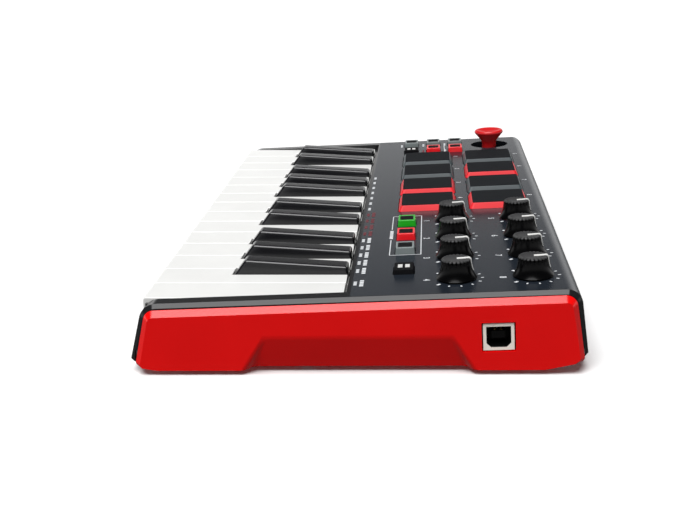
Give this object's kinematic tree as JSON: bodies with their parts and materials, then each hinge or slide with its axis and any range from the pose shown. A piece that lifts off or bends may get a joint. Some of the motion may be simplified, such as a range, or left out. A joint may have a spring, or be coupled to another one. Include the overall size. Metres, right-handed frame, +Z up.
{
  "type": "midi keyboard",
  "caption": "Compact USB MIDI keyboard with sprung mini keys, drum pads, lit buttons, rotary knobs and a two-axis thumb joystick in a glossy red case with a dark sloping panel.",
  "frame": {"origin": "on the supporting surface, under the middle of the case", "axes": "+X towards the player's right, where the USB socket is; -Y towards the player; +Z up"},
  "size_m": [0.318, 0.1809, 0.0423],
  "materials": {
    "top_case": "satin dark grey moulded shell, fine spark texture",
    "bottom_case": "polished red moulding",
    "rubber_feet": "matt black rubber",
    "case_screws": "zinc plated steel, cross recess",
    "circuit_boards": "green solder mask",
    "usb_socket": "nickel plated shell",
    "key_frame": "dark grey moulding",
    "white_key": "polished off-white",
    "black_key": "polished black",
    "pad_red": "dark grey rubber top, lit red skirt",
    "pad_gray": "dark grey rubber top, unlit grey skirt",
    "button_red": "clear cap lit red",
    "button_green": "clear cap lit green",
    "button_gray": "smoky clear cap, unlit",
    "button_black": "satin black cap",
    "knob": "satin black, white pointer",
    "joystick_gimbal": "dark grey acetal",
    "thumb_cap": "satin red, dished top"
  },
  "bodies": {
    "case": {"top_case": "top_case", "bottom_case": "bottom_case", "rubber_feet": "rubber_feet", "case_screws": "case_screws", "circuit_boards": "circuit_boards", "usb_socket": "usb_socket", "key_frame": "key_frame"},
    "white_key_1": {"white_key_1": "white_key"},
    "white_key_2": {"white_key_2": "white_key"},
    "white_key_3": {"white_key_3": "white_key"},
    "white_key_4": {"white_key_4": "white_key"},
    "white_key_5": {"white_key_5": "white_key"},
    "white_key_6": {"white_key_6": "white_key"},
    "white_key_7": {"white_key_7": "white_key"},
    "white_key_8": {"white_key_8": "white_key"},
    "white_key_9": {"white_key_9": "white_key"},
    "white_key_10": {"white_key_10": "white_key"},
    "white_key_11": {"white_key_11": "white_key"},
    "white_key_12": {"white_key_12": "white_key"},
    "white_key_13": {"white_key_13": "white_key"},
    "white_key_14": {"white_key_14": "white_key"},
    "white_key_15": {"white_key_15": "white_key"},
    "black_key_1": {"black_key_1": "black_key"},
    "black_key_2": {"black_key_2": "black_key"},
    "black_key_3": {"black_key_3": "black_key"},
    "black_key_4": {"black_key_4": "black_key"},
    "black_key_5": {"black_key_5": "black_key"},
    "black_key_6": {"black_key_6": "black_key"},
    "black_key_7": {"black_key_7": "black_key"},
    "black_key_8": {"black_key_8": "black_key"},
    "black_key_9": {"black_key_9": "black_key"},
    "black_key_10": {"black_key_10": "black_key"},
    "pad_1": {"pad_1": "pad_gray"},
    "pad_2": {"pad_2": "pad_gray"},
    "pad_3": {"pad_3": "pad_red"},
    "pad_4": {"pad_4": "pad_red"},
    "pad_5": {"pad_5": "pad_gray"},
    "pad_6": {"pad_6": "pad_red"},
    "pad_7": {"pad_7": "pad_gray"},
    "pad_8": {"pad_8": "pad_red"},
    "button_1": {"button_1": "button_gray"},
    "button_2": {"button_2": "button_red"},
    "button_3": {"button_3": "button_gray"},
    "button_4": {"button_4": "button_red"},
    "button_5": {"button_5": "button_gray"},
    "button_6": {"button_6": "button_black"},
    "button_7": {"button_7": "button_green"},
    "button_8": {"button_8": "button_red"},
    "button_9": {"button_9": "button_gray"},
    "button_10": {"button_10": "button_black"},
    "knob_1": {"knob_1": "knob"},
    "knob_2": {"knob_2": "knob"},
    "knob_3": {"knob_3": "knob"},
    "knob_4": {"knob_4": "knob"},
    "knob_5": {"knob_5": "knob"},
    "knob_6": {"knob_6": "knob"},
    "knob_7": {"knob_7": "knob"},
    "knob_8": {"knob_8": "knob"},
    "joystick_gimbal": {"joystick_gimbal": "joystick_gimbal"},
    "joystick_stick": {"joystick_stick": "thumb_cap"}
  },
  "joints": [
    {"name": "white_key_1_hinge", "type": "hinge", "parent": "case", "child": "white_key_1", "pos_m": [0, 0.008, 0.021], "axis": [1, 0, 0], "range_deg": [0, 2.4], "stiffness_Nm_per_rad": 0.5, "springref_deg": -1.72},
    {"name": "white_key_2_hinge", "type": "hinge", "parent": "case", "child": "white_key_2", "pos_m": [0, 0.008, 0.021], "axis": [1, 0, 0], "range_deg": [0, 2.4], "stiffness_Nm_per_rad": 0.5, "springref_deg": -1.72},
    {"name": "white_key_3_hinge", "type": "hinge", "parent": "case", "child": "white_key_3", "pos_m": [0, 0.008, 0.021], "axis": [1, 0, 0], "range_deg": [0, 2.4], "stiffness_Nm_per_rad": 0.5, "springref_deg": -1.72},
    {"name": "white_key_4_hinge", "type": "hinge", "parent": "case", "child": "white_key_4", "pos_m": [0, 0.008, 0.021], "axis": [1, 0, 0], "range_deg": [0, 2.4], "stiffness_Nm_per_rad": 0.5, "springref_deg": -1.72},
    {"name": "white_key_5_hinge", "type": "hinge", "parent": "case", "child": "white_key_5", "pos_m": [0, 0.008, 0.021], "axis": [1, 0, 0], "range_deg": [0, 2.4], "stiffness_Nm_per_rad": 0.5, "springref_deg": -1.72},
    {"name": "white_key_6_hinge", "type": "hinge", "parent": "case", "child": "white_key_6", "pos_m": [0, 0.008, 0.021], "axis": [1, 0, 0], "range_deg": [0, 2.4], "stiffness_Nm_per_rad": 0.5, "springref_deg": -1.72},
    {"name": "white_key_7_hinge", "type": "hinge", "parent": "case", "child": "white_key_7", "pos_m": [0, 0.008, 0.021], "axis": [1, 0, 0], "range_deg": [0, 2.4], "stiffness_Nm_per_rad": 0.5, "springref_deg": -1.72},
    {"name": "white_key_8_hinge", "type": "hinge", "parent": "case", "child": "white_key_8", "pos_m": [0, 0.008, 0.021], "axis": [1, 0, 0], "range_deg": [0, 2.4], "stiffness_Nm_per_rad": 0.5, "springref_deg": -1.72},
    {"name": "white_key_9_hinge", "type": "hinge", "parent": "case", "child": "white_key_9", "pos_m": [0, 0.008, 0.021], "axis": [1, 0, 0], "range_deg": [0, 2.4], "stiffness_Nm_per_rad": 0.5, "springref_deg": -1.72},
    {"name": "white_key_10_hinge", "type": "hinge", "parent": "case", "child": "white_key_10", "pos_m": [0, 0.008, 0.021], "axis": [1, 0, 0], "range_deg": [0, 2.4], "stiffness_Nm_per_rad": 0.5, "springref_deg": -1.72},
    {"name": "white_key_11_hinge", "type": "hinge", "parent": "case", "child": "white_key_11", "pos_m": [0, 0.008, 0.021], "axis": [1, 0, 0], "range_deg": [0, 2.4], "stiffness_Nm_per_rad": 0.5, "springref_deg": -1.72},
    {"name": "white_key_12_hinge", "type": "hinge", "parent": "case", "child": "white_key_12", "pos_m": [0, 0.008, 0.021], "axis": [1, 0, 0], "range_deg": [0, 2.4], "stiffness_Nm_per_rad": 0.5, "springref_deg": -1.72},
    {"name": "white_key_13_hinge", "type": "hinge", "parent": "case", "child": "white_key_13", "pos_m": [0, 0.008, 0.021], "axis": [1, 0, 0], "range_deg": [0, 2.4], "stiffness_Nm_per_rad": 0.5, "springref_deg": -1.72},
    {"name": "white_key_14_hinge", "type": "hinge", "parent": "case", "child": "white_key_14", "pos_m": [0, 0.008, 0.021], "axis": [1, 0, 0], "range_deg": [0, 2.4], "stiffness_Nm_per_rad": 0.5, "springref_deg": -1.72},
    {"name": "white_key_15_hinge", "type": "hinge", "parent": "case", "child": "white_key_15", "pos_m": [0, 0.008, 0.021], "axis": [1, 0, 0], "range_deg": [0, 2.4], "stiffness_Nm_per_rad": 0.5, "springref_deg": -1.72},
    {"name": "black_key_1_hinge", "type": "hinge", "parent": "case", "child": "black_key_1", "pos_m": [0, 0.008, 0.021], "axis": [1, 0, 0], "range_deg": [0, 3.2], "stiffness_Nm_per_rad": 0.4, "springref_deg": -1.72},
    {"name": "black_key_2_hinge", "type": "hinge", "parent": "case", "child": "black_key_2", "pos_m": [0, 0.008, 0.021], "axis": [1, 0, 0], "range_deg": [0, 3.2], "stiffness_Nm_per_rad": 0.4, "springref_deg": -1.72},
    {"name": "black_key_3_hinge", "type": "hinge", "parent": "case", "child": "black_key_3", "pos_m": [0, 0.008, 0.021], "axis": [1, 0, 0], "range_deg": [0, 3.2], "stiffness_Nm_per_rad": 0.4, "springref_deg": -1.72},
    {"name": "black_key_4_hinge", "type": "hinge", "parent": "case", "child": "black_key_4", "pos_m": [0, 0.008, 0.021], "axis": [1, 0, 0], "range_deg": [0, 3.2], "stiffness_Nm_per_rad": 0.4, "springref_deg": -1.72},
    {"name": "black_key_5_hinge", "type": "hinge", "parent": "case", "child": "black_key_5", "pos_m": [0, 0.008, 0.021], "axis": [1, 0, 0], "range_deg": [0, 3.2], "stiffness_Nm_per_rad": 0.4, "springref_deg": -1.72},
    {"name": "black_key_6_hinge", "type": "hinge", "parent": "case", "child": "black_key_6", "pos_m": [0, 0.008, 0.021], "axis": [1, 0, 0], "range_deg": [0, 3.2], "stiffness_Nm_per_rad": 0.4, "springref_deg": -1.72},
    {"name": "black_key_7_hinge", "type": "hinge", "parent": "case", "child": "black_key_7", "pos_m": [0, 0.008, 0.021], "axis": [1, 0, 0], "range_deg": [0, 3.2], "stiffness_Nm_per_rad": 0.4, "springref_deg": -1.72},
    {"name": "black_key_8_hinge", "type": "hinge", "parent": "case", "child": "black_key_8", "pos_m": [0, 0.008, 0.021], "axis": [1, 0, 0], "range_deg": [0, 3.2], "stiffness_Nm_per_rad": 0.4, "springref_deg": -1.72},
    {"name": "black_key_9_hinge", "type": "hinge", "parent": "case", "child": "black_key_9", "pos_m": [0, 0.008, 0.021], "axis": [1, 0, 0], "range_deg": [0, 3.2], "stiffness_Nm_per_rad": 0.4, "springref_deg": -1.72},
    {"name": "black_key_10_hinge", "type": "hinge", "parent": "case", "child": "black_key_10", "pos_m": [0, 0.008, 0.021], "axis": [1, 0, 0], "range_deg": [0, 3.2], "stiffness_Nm_per_rad": 0.4, "springref_deg": -1.72},
    {"name": "pad_1_press", "type": "slide", "parent": "case", "child": "pad_1", "axis": [0, 0.03, -0.9996], "range_m": [0, 0.0008], "stiffness_N_per_m": 2500, "springref_m": -0.0003},
    {"name": "pad_2_press", "type": "slide", "parent": "case", "child": "pad_2", "axis": [0, 0.03, -0.9996], "range_m": [0, 0.0008], "stiffness_N_per_m": 2500, "springref_m": -0.0003},
    {"name": "pad_3_press", "type": "slide", "parent": "case", "child": "pad_3", "axis": [0, 0.03, -0.9996], "range_m": [0, 0.0008], "stiffness_N_per_m": 2500, "springref_m": -0.0003},
    {"name": "pad_4_press", "type": "slide", "parent": "case", "child": "pad_4", "axis": [0, 0.03, -0.9996], "range_m": [0, 0.0008], "stiffness_N_per_m": 2500, "springref_m": -0.0003},
    {"name": "pad_5_press", "type": "slide", "parent": "case", "child": "pad_5", "axis": [0, 0.03, -0.9996], "range_m": [0, 0.0008], "stiffness_N_per_m": 2500, "springref_m": -0.0003},
    {"name": "pad_6_press", "type": "slide", "parent": "case", "child": "pad_6", "axis": [0, 0.03, -0.9996], "range_m": [0, 0.0008], "stiffness_N_per_m": 2500, "springref_m": -0.0003},
    {"name": "pad_7_press", "type": "slide", "parent": "case", "child": "pad_7", "axis": [0, 0.03, -0.9996], "range_m": [0, 0.0008], "stiffness_N_per_m": 2500, "springref_m": -0.0003},
    {"name": "pad_8_press", "type": "slide", "parent": "case", "child": "pad_8", "axis": [0, 0.03, -0.9996], "range_m": [0, 0.0008], "stiffness_N_per_m": 2500, "springref_m": -0.0003},
    {"name": "button_1_press", "type": "slide", "parent": "case", "child": "button_1", "axis": [0, 0.03, -0.9996], "range_m": [0, 0.0005], "stiffness_N_per_m": 2000, "springref_m": -0.0003},
    {"name": "button_2_press", "type": "slide", "parent": "case", "child": "button_2", "axis": [0, 0.03, -0.9996], "range_m": [0, 0.0005], "stiffness_N_per_m": 2000, "springref_m": -0.0003},
    {"name": "button_3_press", "type": "slide", "parent": "case", "child": "button_3", "axis": [0, 0.03, -0.9996], "range_m": [0, 0.0005], "stiffness_N_per_m": 2000, "springref_m": -0.0003},
    {"name": "button_4_press", "type": "slide", "parent": "case", "child": "button_4", "axis": [0, 0.03, -0.9996], "range_m": [0, 0.0005], "stiffness_N_per_m": 2000, "springref_m": -0.0003},
    {"name": "button_5_press", "type": "slide", "parent": "case", "child": "button_5", "axis": [0, 0.03, -0.9996], "range_m": [0, 0.0005], "stiffness_N_per_m": 2000, "springref_m": -0.0003},
    {"name": "button_6_press", "type": "slide", "parent": "case", "child": "button_6", "axis": [0, 0.03, -0.9996], "range_m": [0, 0.0005], "stiffness_N_per_m": 2000, "springref_m": -0.0003},
    {"name": "button_7_press", "type": "slide", "parent": "case", "child": "button_7", "axis": [0, 0.03, -0.9996], "range_m": [0, 0.0005], "stiffness_N_per_m": 2000, "springref_m": -0.0003},
    {"name": "button_8_press", "type": "slide", "parent": "case", "child": "button_8", "axis": [0, 0.03, -0.9996], "range_m": [0, 0.0005], "stiffness_N_per_m": 2000, "springref_m": -0.0003},
    {"name": "button_9_press", "type": "slide", "parent": "case", "child": "button_9", "axis": [0, 0.03, -0.9996], "range_m": [0, 0.0005], "stiffness_N_per_m": 2000, "springref_m": -0.0003},
    {"name": "button_10_press", "type": "slide", "parent": "case", "child": "button_10", "axis": [0, 0.03, -0.9996], "range_m": [0, 0.0005], "stiffness_N_per_m": 2000, "springref_m": -0.0003},
    {"name": "knob_1_turn", "type": "hinge", "parent": "case", "child": "knob_1", "pos_m": [0.044, 0.0399, 0.0321], "axis": [0, -0.03, 0.9996], "range_deg": [-135, 135]},
    {"name": "knob_2_turn", "type": "hinge", "parent": "case", "child": "knob_2", "pos_m": [0.0745, 0.0399, 0.0321], "axis": [0, -0.03, 0.9996], "range_deg": [-135, 135]},
    {"name": "knob_3_turn", "type": "hinge", "parent": "case", "child": "knob_3", "pos_m": [0.105, 0.0399, 0.0321], "axis": [0, -0.03, 0.9996], "range_deg": [-135, 135]},
    {"name": "knob_4_turn", "type": "hinge", "parent": "case", "child": "knob_4", "pos_m": [0.1355, 0.0399, 0.0321], "axis": [0, -0.03, 0.9996], "range_deg": [-135, 135]},
    {"name": "knob_5_turn", "type": "hinge", "parent": "case", "child": "knob_5", "pos_m": [0.044, 0.0704, 0.03301], "axis": [0, -0.03, 0.9996], "range_deg": [-135, 135]},
    {"name": "knob_6_turn", "type": "hinge", "parent": "case", "child": "knob_6", "pos_m": [0.0745, 0.0704, 0.03301], "axis": [0, -0.03, 0.9996], "range_deg": [-135, 135]},
    {"name": "knob_7_turn", "type": "hinge", "parent": "case", "child": "knob_7", "pos_m": [0.105, 0.0704, 0.03301], "axis": [0, -0.03, 0.9996], "range_deg": [-135, 135]},
    {"name": "knob_8_turn", "type": "hinge", "parent": "case", "child": "knob_8", "pos_m": [0.1355, 0.0704, 0.03301], "axis": [0, -0.03, 0.9996], "range_deg": [-135, 135]},
    {"name": "joystick_side_tilt", "type": "hinge", "parent": "case", "child": "joystick_gimbal", "pos_m": [-0.134, 0.06661, 0.0259], "axis": [0, 0.9996, 0.03], "range_deg": [-15, 15], "stiffness_Nm_per_rad": 0.05},
    {"name": "joystick_fore_tilt", "type": "hinge", "parent": "joystick_gimbal", "child": "joystick_stick", "pos_m": [-0.134, 0.06661, 0.0259], "axis": [1, 0, 0], "range_deg": [-15, 15], "stiffness_Nm_per_rad": 0.05}
  ]
}
